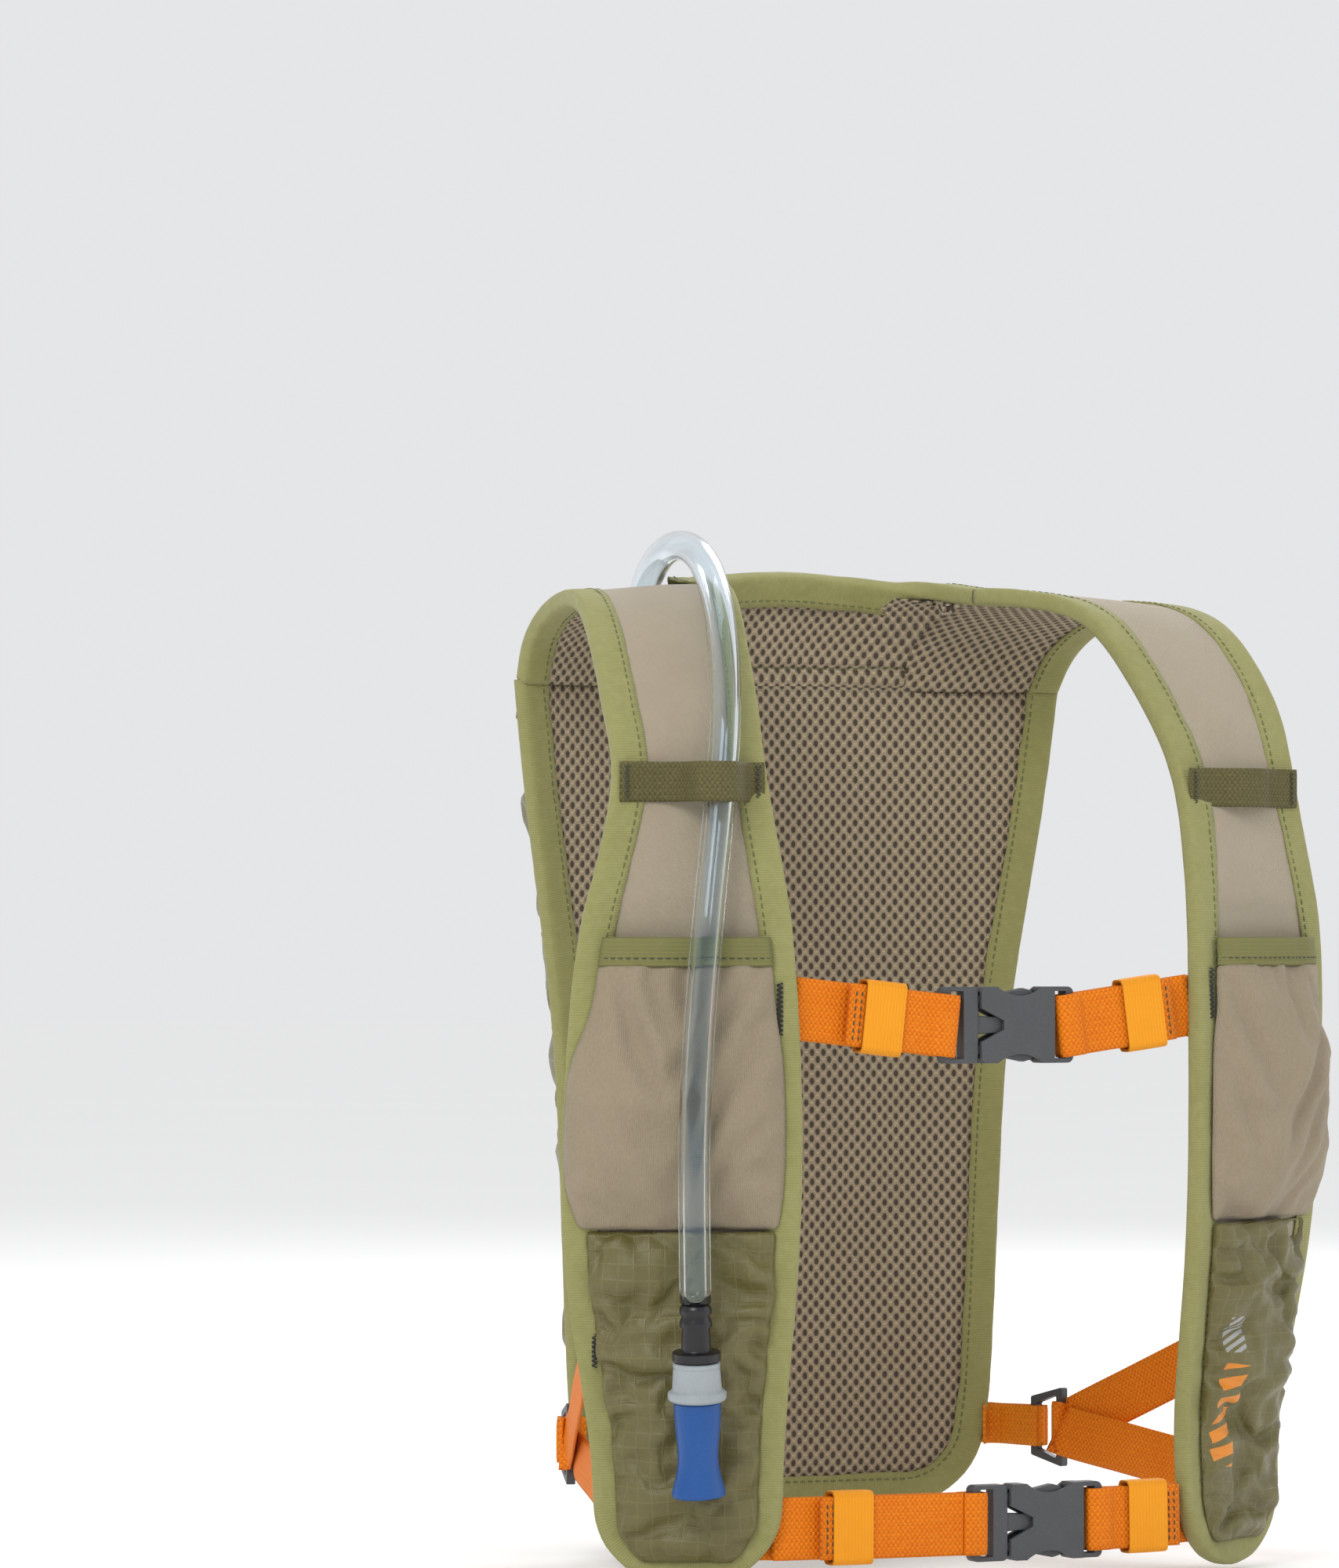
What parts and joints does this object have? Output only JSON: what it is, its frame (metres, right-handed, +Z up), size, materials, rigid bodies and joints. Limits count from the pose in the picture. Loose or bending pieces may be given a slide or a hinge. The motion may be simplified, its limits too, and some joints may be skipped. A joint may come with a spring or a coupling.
{
  "type": "hydration pack",
  "caption": "Vest-style hydration pack in its worn shape: back bag with bladder and flap, shoulder straps with pockets, chest straps with side-release buckles, drink tube.",
  "frame": {"origin": "on the wearer's centre line, level with the tops of the shoulder straps, where the wearer's shoulders carry the pack", "axes": "+Z up, +X the wearer's left, -Y the wearer's front"},
  "size_m": [0.3068, 0.2316, 0.3741],
  "materials": {
    "amber_elastic": "smooth elastic",
    "binding": "folded woven tape, matte",
    "black_plastic": "moulded, satin",
    "bladder_film": "clear film, gloss",
    "buckle": "moulded acetal, fine texture",
    "collar": "smoky translucent",
    "mesh": "3-D air mesh, matte",
    "olive_elastic": "elastic band",
    "olive_web": "ribbed grosgrain",
    "orange_web": "woven webbing",
    "ripstop": "coated ripstop, satin",
    "strap_cloth": "fine twill, matte",
    "stretch_cloth": "stretch knit, matte",
    "tack_thread": "dense zigzag thread",
    "tube": "clear tube, gloss",
    "valve": "silicone, satin"
  },
  "bodies": {
    "pack": {"back_binding": "binding", "back_fabric": "strap_cloth", "back_mesh": "mesh", "bag_mouth_elastic": "olive_elastic", "bag_shell": "ripstop", "bag_top_strip": "ripstop", "bar_tacks": "tack_thread", "bladder": "bladder_film", "bladder_fill_port": "black_plastic", "bladder_hanger": "olive_web", "bladder_outlet": "black_plastic", "drink_tube": "tube", "hang_loop": "olive_web", "hose_loop_left": "olive_web", "hose_loop_right": "olive_web", "inner_tube": "tube", "lower_pocket_left": "ripstop", "lower_pocket_right": "ripstop", "neck_binding": "binding", "pocket_elastic_left": "olive_elastic", "pocket_elastic_right": "olive_elastic", "ring_tab_left": "amber_elastic", "ring_tab_right": "amber_elastic", "side_ring_left": "buckle", "side_ring_right": "buckle", "sternum_buckle_female": "buckle", "sternum_webbing_left": "orange_web", "sternum_webbing_right": "orange_web", "strap_binding_left": "binding", "strap_binding_right": "binding", "strap_fabric_left": "strap_cloth", "strap_fabric_right": "strap_cloth", "strap_mesh_left": "mesh", "strap_mesh_right": "mesh", "stretch_pocket_left": "stretch_cloth", "stretch_pocket_right": "stretch_cloth", "tube_connector": "black_plastic", "v_strap_left": "orange_web", "v_strap_right": "orange_web", "waist_buckle_female": "buckle", "waist_webbing_left": "orange_web", "waist_webbing_right": "orange_web", "yoke_fabric": "strap_cloth", "yoke_mesh": "mesh"},
    "flap": {"flap_panel": "ripstop", "flap_hem": "olive_elastic", "flap_tab": "ripstop"},
    "fill_cap": {"bladder_fill_cap": "black_plastic"},
    "drink_valve": {"valve_collar": "collar", "bite_valve": "valve"},
    "sternum_male": {"sternum_buckle_male": "buckle"},
    "sternum_prong_upper": {"sternum_prong_upper": "buckle"},
    "sternum_prong_lower": {"sternum_prong_lower": "buckle"},
    "sternum_keeper_right": {"sternum_keeper_right": "amber_elastic"},
    "sternum_keeper_left": {"sternum_keeper_left": "amber_elastic"},
    "waist_male": {"waist_buckle_male": "buckle"},
    "waist_prong_upper": {"waist_prong_upper": "buckle"},
    "waist_prong_lower": {"waist_prong_lower": "buckle"},
    "waist_keeper_right": {"waist_keeper_right": "amber_elastic"},
    "waist_keeper_left": {"waist_keeper_left": "amber_elastic"}
  },
  "joints": [
    {"name": "flap_hinge", "type": "hinge", "parent": "pack", "child": "flap", "pos_m": [0, 0.0845, -0.016], "axis": [1, 0, 0], "range_deg": [0, 75]},
    {"name": "fill_cap_turn", "type": "hinge", "parent": "pack", "child": "fill_cap", "pos_m": [0, 0.097, -0.098], "axis": [0, 1, 0], "range_deg": [0, 90]},
    {"name": "valve_twist", "type": "hinge", "parent": "pack", "child": "drink_valve", "pos_m": [-0.1195, -0.1025, -0.25], "axis": [0.0708, 0.1063, -0.9918], "range_deg": [0, 90]},
    {"name": "sternum_release", "type": "slide", "parent": "pack", "child": "sternum_male", "axis": [-1, 0, 0], "range_m": [0, 0.024], "deforming": ["sternum_webbing_right"]},
    {"name": "sternum_squeeze_upper", "type": "hinge", "parent": "sternum_male", "child": "sternum_prong_upper", "pos_m": [-0.0075, -0.1, -0.146], "axis": [0, 1, 0], "range_deg": [0, 14.6]},
    {"name": "sternum_squeeze_lower", "type": "hinge", "parent": "sternum_male", "child": "sternum_prong_lower", "pos_m": [-0.0075, -0.1, -0.164], "axis": [0, -1, 0], "range_deg": [0, 14.6]},
    {"name": "sternum_keeper_right_slide", "type": "slide", "parent": "pack", "child": "sternum_keeper_right", "axis": [-0.9941, 0, 0.1084], "range_m": [0, 0.0125]},
    {"name": "sternum_keeper_left_slide", "type": "slide", "parent": "pack", "child": "sternum_keeper_left", "axis": [0.991, 0, 0.1342], "range_m": [-0.008, 0.008]},
    {"name": "waist_release", "type": "slide", "parent": "pack", "child": "waist_male", "axis": [-1, 0, 0], "range_m": [0, 0.024], "deforming": ["waist_webbing_right"]},
    {"name": "waist_squeeze_upper", "type": "hinge", "parent": "waist_male", "child": "waist_prong_upper", "pos_m": [0.009, -0.091, -0.322], "axis": [0, 1, 0], "range_deg": [0, 14.6]},
    {"name": "waist_squeeze_lower", "type": "hinge", "parent": "waist_male", "child": "waist_prong_lower", "pos_m": [0.009, -0.091, -0.34], "axis": [0, -1, 0], "range_deg": [0, 14.6]},
    {"name": "waist_keeper_right_slide", "type": "slide", "parent": "pack", "child": "waist_keeper_right", "axis": [-1, 0, 0.0069], "range_m": [-0.006, 0.012]},
    {"name": "waist_keeper_left_slide", "type": "slide", "parent": "pack", "child": "waist_keeper_left", "axis": [0.9999, 0, 0.0154], "range_m": [-0.006, 0.003]}
  ],
  "couplings": [
    {"joint": "sternum_squeeze_upper", "follows": "sternum_release", "rad_per_m": 10.5},
    {"joint": "sternum_squeeze_lower", "follows": "sternum_release", "rad_per_m": 10.5},
    {"joint": "sternum_keeper_right_slide", "follows": "sternum_release", "ratio": 0.5},
    {"joint": "waist_squeeze_upper", "follows": "waist_release", "rad_per_m": 10.5},
    {"joint": "waist_squeeze_lower", "follows": "waist_release", "rad_per_m": 10.5}
  ]
}
